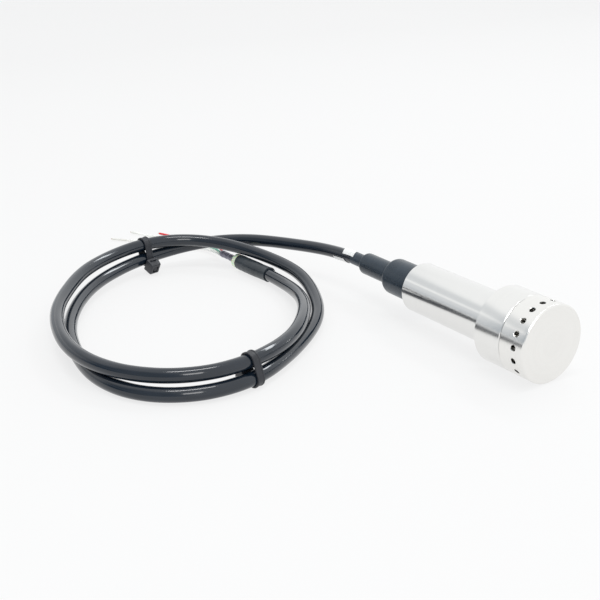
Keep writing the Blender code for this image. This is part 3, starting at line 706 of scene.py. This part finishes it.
def make_gland(looks):
    """Two moulded steps with round shoulders, and the thin boot that the cable leaves by."""
    gland_radius = 10.4 * MM
    bore = 6.55 * MM
    collar = 12.2 * MM
    outline = [
        (GLAND_HIGH.x, 4.25 * MM, 0.0), (GLAND_HIGH.x, collar, 0.3 * MM),
        (TUBE_LOW.x + 0.1 * MM, collar, 0.0),
        (TUBE_LOW.x - 0.05 * MM, gland_radius, 0.0), (GLAND_LOW.x, gland_radius, 3.0 * MM),
        (GLAND_LOW.x, bore, 0.2 * MM), (GLAND_HIGH.x - 10.6 * MM, bore, 0.0),
        (GLAND_HIGH.x - 10.6 * MM, 4.25 * MM, 0.0),
    ]
    turned("gland_shell", outline, looks["gland"], ["gland_body"])

    relief_radius = (RELIEF_HIGH.z - RELIEF_LOW.z) / 2.0
    outline = [
        (RELIEF_HIGH.x, 4.1 * MM, 0.0), (RELIEF_HIGH.x, relief_radius, 0.0),
        (RELIEF_LOW.x, relief_radius, 2.2 * MM), (RELIEF_LOW.x, BOOT_RADIUS + 0.12 * MM, 0.15 * MM),
        (RELIEF_LOW.x + 6.3 * MM, BOOT_RADIUS + 0.12 * MM, 0.0), (RELIEF_LOW.x + 6.3 * MM, 4.1 * MM, 0.0),
    ]
    turned("relief_shell", outline, looks["gland"], ["strain_relief"])

    outline = [
        (BOOT_HIGH.x, CABLE_RADIUS + 0.05 * MM, 0.0), (BOOT_HIGH.x, BOOT_RADIUS, 0.0),
        (BOOT_LOW.x, BOOT_RADIUS, 0.08 * MM),
        (BOOT_LOW.x, CABLE_RADIUS + 0.05 * MM, 0.0),
    ]
    turned("boot_shell", outline, looks["gland"], ["cable_boot"])


# ---------------------------------------------------------------- cable

def length_along(path):
    """The length of a path up to each of its points."""
    return np.concatenate(([0.0], np.cumsum(np.linalg.norm(np.diff(path, axis=0), axis=1))))


def smooth_route(points, step):
    """Evenly spaced points on the natural cubic spline through a route given in millimetres."""
    knots = np.array(points, dtype=float) * MM
    spans = np.linalg.norm(np.diff(knots, axis=0), axis=1)
    system = np.eye(len(knots))
    load = np.zeros_like(knots)
    for i in range(1, len(knots) - 1):
        before, after = spans[i - 1], spans[i]
        system[i, i - 1:i + 2] = before, 2.0 * (before + after), after
        load[i] = 6.0 * ((knots[i + 1] - knots[i]) / after - (knots[i] - knots[i - 1]) / before)
    bends = np.linalg.solve(system, load)
    dense = []
    for i, span in enumerate(spans):
        for t in np.linspace(0.0, 1.0, 60, endpoint=False):
            weights = ((1.0 - t) ** 3 - (1.0 - t), t ** 3 - t)
            curve = bends[i] * weights[0] + bends[i + 1] * weights[1]
            dense.append(knots[i] * (1.0 - t) + knots[i + 1] * t + curve * span * span / 6.0)
    dense = np.array(dense + [knots[-1]])
    lengths = length_along(dense)
    count = max(2, round(lengths[-1] / step)) + 1
    places = np.linspace(0.0, lengths[-1], count)
    return np.stack([np.interp(places, lengths, dense[:, axis]) for axis in range(3)], axis=1)


def frames_along(path):
    """Tangent, side and top directions at each point of a path, turning as little as they can."""
    tangents = np.gradient(path, axis=0)
    tangents /= np.linalg.norm(tangents, axis=1)[:, None]
    top = np.array((0.0, 0.0, 1.0))
    tops = []
    for tangent in tangents:
        top = top - tangent * (top @ tangent)
        top /= np.linalg.norm(top)
        tops.append(top)
    tops = np.array(tops)
    return tangents, np.cross(tops, tangents), tops


def sweep(path, radii, sides, inner=None):
    """Vertices, faces and UVs of a round skin along a path; inner radii make it a hollow sleeve."""
    _, across, tops = frames_along(path)
    lengths = length_along(path)
    turn = TAU * np.arange(sides) / sides
    spokes = (across[:, None, :] * np.sin(turn)[None, :, None]
              + tops[:, None, :] * np.cos(turn)[None, :, None])
    radii = np.broadcast_to(np.asarray(radii, float), (len(path),))
    skins = [path[:, None, :] + spokes * radii[:, None, None]]
    if inner is not None:
        hollow = np.broadcast_to(np.asarray(inner, float), (len(path),))
        skins.append((path[:, None, :] + spokes * hollow[:, None, None])[::-1])
    rows = np.concatenate(skins)
    along = np.concatenate([lengths] if inner is None else [lengths, lengths[::-1]])
    vertices = list(rows.reshape(-1, 3))
    faces, uvs = [], []
    count = len(rows)
    last = count if inner is not None else count - 1
    for i in range(last):
        k = (i + 1) % count
        for j in range(sides):
            m = (j + 1) % sides
            faces.append((i * sides + j, i * sides + m, k * sides + m, k * sides + j))
            left, right = j / sides, (j + 1) / sides
            uvs += [(left, along[i]), (right, along[i]), (right, along[k]), (left, along[k])]
    if inner is None:
        for row, order in ((0, -1), (count - 1, 1)):
            centre = len(vertices)
            vertices.append(path[0] if row == 0 else path[-1])
            for j in range(sides):
                ring = (row * sides + j, row * sides + (j + 1) % sides)
                faces.append((centre, *ring[::order]))
                uvs += [(j / sides, along[row])] * 3
    return vertices, faces, uvs


def rounded_ends(path, radius, rounding, steps=4):
    """A path with extra points near its ends, and radii that round the ends' edges off."""
    directions = (path[0] - path[1], path[-1] - path[-2])
    ends = [d / np.linalg.norm(d) for d in directions]
    shares = [math.radians(90.0 * i / steps) for i in range(steps + 1)]
    head = [path[0] + ends[0] * rounding * (math.sin(a) - 1.0) for a in shares[::-1]]
    tail = [path[-1] + ends[1] * rounding * (math.sin(a) - 1.0) for a in shares]
    edge = [radius - rounding * (1.0 - math.cos(a)) for a in shares]
    inside = [p for p in path[1:-1] if (p - path[0]) @ (p - path[0]) > rounding ** 2
              and (p - path[-1]) @ (p - path[-1]) > rounding ** 2]
    line = np.array(head + inside + tail)
    radii = np.array(edge[::-1] + [radius] * len(inside) + edge)
    return line, radii


def strand(name, route, radius, step, rounding, look, replaces, sides=24, wobble=0.0):
    """A round cord along a route, with rounded ends."""
    path, radii = rounded_ends(smooth_route(route, step), radius, rounding)
    if wobble:
        places = np.arange(len(path)) * step
        random = np.random.default_rng(11)
        for wavelength in (0.021, 0.034, 0.055):
            radii = radii * (1.0 + wobble * np.sin(TAU * places / wavelength + random.uniform(0.0, TAU)))
    vertices, faces, uvs = sweep(path, radii, sides)
    piece = new_piece(name, vertices, faces, look, "probe", replaces, uvs)
    return piece, path


def make_cable(looks):
    """The cable's glossy jacket along its whole route, and the path that it follows."""
    return strand("cable_jacket", ROUTE, CABLE_RADIUS, 2.2 * MM, 0.3 * MM, looks["jacket"],
                  ["cable"], sides=40, wobble=0.003)


def make_marker(looks, path):
    """White tape wound on a slant round the back of cable and boot, from underneath to the top."""
    lead = 14.0 * MM
    path = np.concatenate(([path[0] + np.array((lead, 0.0, 0.0))], path))
    _, across, tops = frames_along(path)
    lengths = length_along(path) - lead
    start, end = math.radians(105.0), math.radians(420.0)   # round the cable, from its top
    under, top = 10.5 * MM, 1.5 * MM                        # of the tape's ends, from the boot's end
    width = 10.0 * MM
    steps, columns = 64, 8
    rows = []
    for skin in (BOOT_RADIUS + 0.03 * MM, BOOT_RADIUS + 0.2 * MM):
        for i in range(steps + 1):
            share = i / steps
            angle = start + (end - start) * share
            lift = 0.25 * MM * max(0.0, (share - 0.93) / 0.07)
            row = []
            for j in range(columns + 1):
                away = under + (top - under) * share + (j / columns - 0.5) * width
                place = np.array([np.interp(away, lengths, path[:, axis]) for axis in range(3)])
                k = int(np.searchsorted(lengths, away))
                spoke = across[k] * math.sin(angle) + tops[k] * math.cos(angle)
                row.append(place + spoke * (skin + lift))
            rows.append(row)
    vertices = [point for row in rows for point in row]
    across_count, half = columns + 1, (steps + 1) * (columns + 1)
    faces = []
    for layer in (0, half):
        for i in range(steps):
            for j in range(columns):
                a = layer + i * across_count + j
                faces.append((a, a + 1, a + across_count + 1, a + across_count))
    for i in range(steps):
        for j in (0, columns):
            a = i * across_count + j
            faces.append((a, a + across_count, a + across_count + half, a + half))
    for i in (0, steps):
        for j in range(columns):
            a = i * across_count + j
            faces.append((a, a + 1, a + 1 + half, a + half))
    piece = new_piece("marker_tape", vertices, faces, looks["marker"], "probe",
                      ["cable_marker"])
    outward(piece)
    return piece


def strand_at(path, near):
    """The place on a path closest to a point in millimetres, and the direction there."""
    i = int(np.argmin(np.linalg.norm(path - np.array(near) * MM, axis=1)))
    direction = path[min(i + 1, len(path) - 1)] - path[max(i - 1, 0)]
    return Vector(path[i]), Vector(direction).normalized()


def make_tie(name, strands, head_angle, looks):
    """A cable tie round two strands: a strap with raised rails, its ratchet head and the cut tail."""
    (lower, direction), (upper, other) = strands
    x_axis = (direction + other).normalized()
    y_axis = Vector((0.0, 0.0, 1.0)).cross(x_axis).normalized()
    z_axis = x_axis.cross(y_axis)
    place = Matrix.Translation(lower) @ Matrix((x_axis, y_axis, z_axis)).transposed().to_4x4()
    offset = place.inverted() @ upper
    tilt = math.atan2(offset.z, offset.y)
    distance = math.hypot(offset.y, offset.z)
    inner = CABLE_RADIUS + STRAP_CLEAR
    half, rail, dip, edge = STRAP_WIDTH / 2.0, 0.8 * MM, 0.2 * MM, 0.2 * MM
    section = [(0.0, -half), (0.0, half), (STRAP_THICK - edge, half), (STRAP_THICK, half - edge),
               (STRAP_THICK, half - rail), (STRAP_THICK - dip, half - rail - dip),
               (STRAP_THICK - dip, -half + rail + dip), (STRAP_THICK, -half + rail),
               (STRAP_THICK, -half + edge), (STRAP_THICK - edge, -half)]
    stations = []
    steps = 28
    for centre, start in ((distance, -90.0), (0.0, 90.0)):
        for i in range(steps + 1):
            stations.append((centre, tilt + math.radians(start + 180.0 * i / steps)))
    vertices = []
    for centre, angle in stations:
        for thick, wide in section:
            reach = inner + thick
            vertices.append(place @ Vector((wide, centre * math.cos(tilt) + reach * math.cos(angle),
                                            centre * math.sin(tilt) + reach * math.sin(angle))))
    count = len(section)
    faces = []
    for i in range(len(stations)):
        k = (i + 1) % len(stations)
        for j in range(count):
            m = (j + 1) % count
            faces.append((i * count + j, i * count + m, k * count + m, k * count + j))
    strap = new_piece(name + "_strap", vertices, faces, looks["tie"], "probe", [name])
    outward(strap)

    angle = math.radians(head_angle)
    reach = inner + STRAP_THICK * 0.4 + TIE_HEAD.y / 2.0
    centre = Vector((0.0, math.cos(angle), math.sin(angle))) * reach
    head_place = place @ Matrix.Translation(centre) @ Matrix.Rotation(angle, 4, "X")
    head = tie_head(name + "_head", head_place, looks)
    return [strap, head]


def tie_head(name, place, looks):
    """The ratchet head: a tapered block with its pawl's window, and the tail cut close to it."""
    bm = bmesh.new()
    bmesh.ops.create_cube(bm, size=1.0, matrix=Matrix.Diagonal((*TIE_HEAD, 1.0)))
    for vertex in bm.verts:
        if vertex.co.y > 0.0:
            vertex.co.x *= 0.8
            vertex.co.z *= 0.9
    bmesh.ops.bevel(bm, geom=bm.edges[:], offset=0.75 * MM, segments=4, profile=0.5, affect="EDGES")
    bm.faces.ensure_lookup_table()
    outer = max(bm.faces, key=lambda face: face.calc_center_median().y + face.calc_area())
    bmesh.ops.inset_region(bm, faces=[outer], thickness=1.1 * MM)
    moved = bmesh.ops.extrude_face_region(bm, geom=[outer])
    sunk = [item for item in moved["geom"] if isinstance(item, bmesh.types.BMVert)]
    bmesh.ops.translate(bm, vec=(0.0, -0.9 * MM, 0.0), verts=sunk)
    bmesh.ops.delete(bm, geom=[outer], context="FACES")
    tail_at = Matrix.Translation((0.0, -TIE_HEAD.y / 2.0 + 2.2 * MM, TIE_HEAD.z / 2.0 + 0.3 * MM))
    tail_size = Matrix.Diagonal((STRAP_WIDTH - 0.2 * MM, STRAP_THICK, 1.2 * MM, 1.0))
    tail = bmesh.ops.create_cube(bm, size=1.0, matrix=tail_at @ tail_size)
    tail_edges = list({edge for vertex in tail["verts"] for edge in vertex.link_edges})
    bmesh.ops.bevel(bm, geom=tail_edges, offset=0.15 * MM, segments=2, profile=0.5, affect="EDGES")
    pawl_at = Matrix.Translation((0.0, TIE_HEAD.y / 2.0 - 0.7 * MM, 0.3 * MM))
    pawl_size = Matrix.Diagonal((2.4 * MM, 0.9 * MM, 3.0 * MM, 1.0))
    bmesh.ops.create_cube(bm, size=1.0, matrix=pawl_at @ Matrix.Rotation(PAWL_TILT, 4, "X") @ pawl_size)
    bmesh.ops.recalc_face_normals(bm, faces=bm.faces)
    mesh = bpy.data.meshes.new(name)
    bm.transform(place)
    bm.to_mesh(mesh)
    bm.free()
    return finished(name, mesh, looks["tie"], "probe")


def make_bared_end(looks):
    """The heat-shrink sleeve over the cable's end, its liner, the foil bundle and the cores."""
    path = smooth_route(SLEEVE_ROUTE, 0.8 * MM)
    places = np.linspace(0.0, 1.0, len(path))
    # The sleeve grips the cable at its start, swells over the jacket's cut end, and ends in a lip.
    radii = (SLEEVE_RADIUS - 0.12 * MM + 0.1 * MM * np.tanh((places - 0.35) * 14.0)
             + 0.12 * MM * np.exp(-(places / 0.03) ** 2) + 0.05 * MM * np.sin(places * 37.0) * places)
    vertices, faces, uvs = sweep(path, radii, 40, CABLE_RADIUS + 0.1 * MM)
    sleeve = new_piece("sleeve_shell", vertices, faces, looks["sleeve"], "probe",
                       ["end_sleeve"], uvs)
    outward(sleeve)

    path = smooth_route(LINER_ROUTE, 0.5 * MM)
    vertices, faces, uvs = sweep(path, LINER_RADIUS, 40, LINER_RADIUS - 0.7 * MM)
    liner = new_piece("liner_ring", vertices, faces, looks["liner"], "probe",
                      ["sleeve_liner"], uvs)
    outward(liner)

    path, radii = rounded_ends(smooth_route(BUNDLE_ROUTE, 0.7 * MM), BUNDLE_RADIUS, 0.5 * MM)
    places = np.arange(len(path))
    radii = radii * (1.0 + 0.04 * np.sin(places * 0.9) + 0.03 * np.sin(places * 0.37 + 1.0))
    vertices, faces, uvs = sweep(path, radii, 24)
    bundle = new_piece("foil_bundle", vertices, faces, looks["foil"], "probe",
                       ["shield_bundle"], uvs)
    outward(bundle)
    return [sleeve, liner, bundle]


def make_cores(looks):
    """The thin insulated cores, each with a stub of its conductor at the cut end."""
    for name, route in CORE_ROUTES.items():
        colour = name.split("_")[1]
        core, path = strand(name + "_insulation", route, CORE_RADIUS, 1.5 * MM, 0.15 * MM,
                            looks[colour], [name], sides=16)
        outward(core)
        tip = (path[-1] - path[-3]) / np.linalg.norm(path[-1] - path[-3])
        stub_path = np.array([path[-1] + tip * t * MM for t in (-0.6, 0.0, 0.5, 1.0)])
        vertices, faces, uvs = sweep(stub_path, CORE_RADIUS * 0.55, 12)
        stub = new_piece(name + "_conductor", vertices, faces, looks["copper"], "probe",
                         (), uvs)
        outward(stub)


# ---------------------------------------------------------------- carried-over CAD nodes

NODE_LOOKS = {
    "window": ["acoustic_window"],
    "ceramic": ["piezo_disc"],
    "backing": ["backing_block"],
    "natural": ["transducer_cup", "front_board_holder", "rear_board_holder", "board_connector"],
    "board": ["circuit_board"],
    "coil": ["pulse_transformer"],
    "chip": ["microcontroller", "echo_amplifier", "transducer_lead_return"],
    "can": ["storage_capacitor"],
    "small_steel": ["gland_washer"],
    "seal": ["tube_o_ring", "transducer_o_ring", "gland_o_ring", "cable_seal"],
    "gland": ["cable_lead_in"],
    "red": ["lead_red", "transducer_lead_signal"],
    "green": ["lead_green"],
    "white": ["lead_white"],
    "blue": ["lead_blue"],
}


def dress_cad_nodes(looks):
    for look, nodes in NODE_LOOKS.items():
        for node in nodes:
            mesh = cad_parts[node].data
            mesh.materials.clear()
            mesh.materials.append(looks[look])


# ---------------------------------------------------------------- room

def make_floor():
    """A pale sheet that glows a little, painted light that keeps it nearly white round the model's soft
    shadows.
    """
    look = Look("floor_white", (0.15, 0.15, 0.15), 0.7)
    mottle = look.noise(1.5, 2.0)
    look.join("Base Color", look.mixed(mottle, (0.145, 0.145, 0.145), (0.155, 0.155, 0.155)))
    look.shader.inputs["Specular IOR Level"].default_value = 0.1
    # Painted shade: the glow is weaker towards -X, so the floor darkens to the left.
    leftward = look.node("ShaderNodeSeparateXYZ", {"Vector": look.place}).outputs["X"]
    glow = look.ranged(leftward, -1.2, 0.1, FLOOR_GLOW[0], FLOOR_GLOW[1])
    look.shader.inputs["Emission Color"].default_value = (1.0, 1.0, 1.0, 1.0)
    look.join("Emission Strength", glow)
    bm = bmesh.new()
    bmesh.ops.create_grid(bm, x_segments=4, y_segments=4, size=30.0)
    mesh = bpy.data.meshes.new("floor")
    bm.to_mesh(mesh)
    bm.free()
    mesh.materials.append(look.material)
    floor = bpy.data.objects.new("floor", mesh)
    floor.location.z = -0.1 * MM
    bpy.context.scene.collection.objects.link(floor)


def make_world():
    """A bright room, with a greyer side to the left of the camera for the steel to reflect."""
    world = bpy.data.worlds.new("room")
    world.use_nodes = True
    bpy.context.scene.world = world
    tree = world.node_tree
    background = tree.nodes["Background"]

    def node(kind, links=None, **settings):
        made = tree.nodes.new(kind)
        for key, value in settings.items():
            setattr(made, key, value)
        for key, value in (links or {}).items():
            if isinstance(value, bpy.types.NodeSocket):
                tree.links.new(value, made.inputs[key])
            else:
                made.inputs[key].default_value = value
        return made

    def calc(operation, first, second=0.0):
        return node("ShaderNodeMath", {0: first, 1: second}, operation=operation).outputs[0]

    def ease(value, low, high, new_low, new_high):
        return node("ShaderNodeMapRange", {0: value, 1: low, 2: high, 3: new_low, 4: new_high},
                    interpolation_type="SMOOTHSTEP").outputs[0]

    def toward(azimuth, elevation):
        """How nearly each direction points at an azimuth and elevation in degrees, 1 at the middle."""
        turn, lift = math.radians(azimuth), math.radians(elevation)
        aim = Vector((math.cos(turn) * math.cos(lift), math.sin(turn) * math.cos(lift), math.sin(lift)))
        return node("ShaderNodeVectorMath", {0: direction, 1: aim}, operation="DOT_PRODUCT").outputs["Value"]

    direction = node("ShaderNodeTexCoord").outputs["Generated"]
    height = node("ShaderNodeSeparateXYZ", {"Vector": direction}).outputs["Z"]
    wall = ease(toward(-149.0, 0.0), 0.35, 0.85, 0.0, 1.0)
    below_ceiling = calc("MULTIPLY", ease(height, 0.56, 0.7, 1.0, 0.0), 0.27)
    skirting = calc("MULTIPLY", ease(height, 0.04, 0.2, 1.0, 0.0), 0.14)
    streak = calc("MULTIPLY", ease(height, 0.29, 0.35, 0.0, 1.0), ease(height, 0.37, 0.43, 1.0, 0.0))
    grey = calc("SUBTRACT", calc("ADD", below_ceiling, skirting), calc("MULTIPLY", streak, 0.3))
    dark_side = calc("MULTIPLY", ease(toward(-75.0, 15.0), 0.5, 0.85, 0.0, 1.0), 0.55)
    shade = calc("ADD", calc("MULTIPLY", wall, grey), dark_side)
    levels = [calc("MAXIMUM", calc("SUBTRACT", full, calc("MULTIPLY", shade, share)), 0.1)
              for full, share in ((1.044, 1.05), (1.055, 1.0), (1.06, 0.94))]
    colour = node("ShaderNodeCombineColor", dict(enumerate(levels))).outputs[0]
    tree.links.new(colour, background.inputs["Color"])
    background.inputs["Strength"].default_value = 1.0


def soft_light(name, at, size, power, colour=(1.0, 1.0, 1.0)):
    """A rectangular softbox aimed at the middle of the model."""
    data = bpy.data.lights.new(name, "AREA")
    data.shape = "RECTANGLE"
    data.size, data.size_y = size
    data.energy = power
    data.color = colour
    light = bpy.data.objects.new(name, data)
    light.location = at
    light.rotation_mode = "QUATERNION"
    light.rotation_quaternion = (Vector((-0.05, -0.08, 0.0)) - Vector(at)).to_track_quat("-Z", "Y")
    bpy.context.scene.collection.objects.link(light)


def make_lights():
    soft_light("softbox_back", (-0.5, 1.3, 1.5), (1.0, 0.2), 6.0, (0.93, 0.97, 1.0))
    soft_light("softbox_top", (0.1, -0.1, 1.9), (0.9, 0.2), 7.5)
    soft_light("softbox_right", (1.08, -0.5, 0.8), (0.45, 0.45), 3.0, (1.0, 0.99, 0.97))


# ---------------------------------------------------------------- making it

make_camera()
looks = make_looks()
cable, cable_path = make_cable(looks)
outward(cable)
marker = make_marker(looks, cable_path)
half = len(cable_path) // 2
first_turn, second_turn = cable_path[:half], cable_path[half:]
rear_tie = make_tie("cable_tie_rear", (strand_at(first_turn, (-178.5, -88, 9.6)),
                                       strand_at(second_turn, (-181, -88.5, 17.8))), -30.0, looks)
front_tie = make_tie("cable_tie_front", (strand_at(first_turn, (0.6, -119.5, 4.6)),
                                         strand_at(second_turn, (-2.5, -119.5, 12.7))), 0.0, looks)
bared_end = make_bared_end(looks)
make_cores(looks)

make_guard_cap(looks)
make_head(looks)
make_tube(looks)
make_front_details(looks)
make_gland(looks)
dress_cad_nodes(looks)

make_floor()
make_world()
make_lights()
bpy.context.scene.view_settings.view_transform = "Standard"
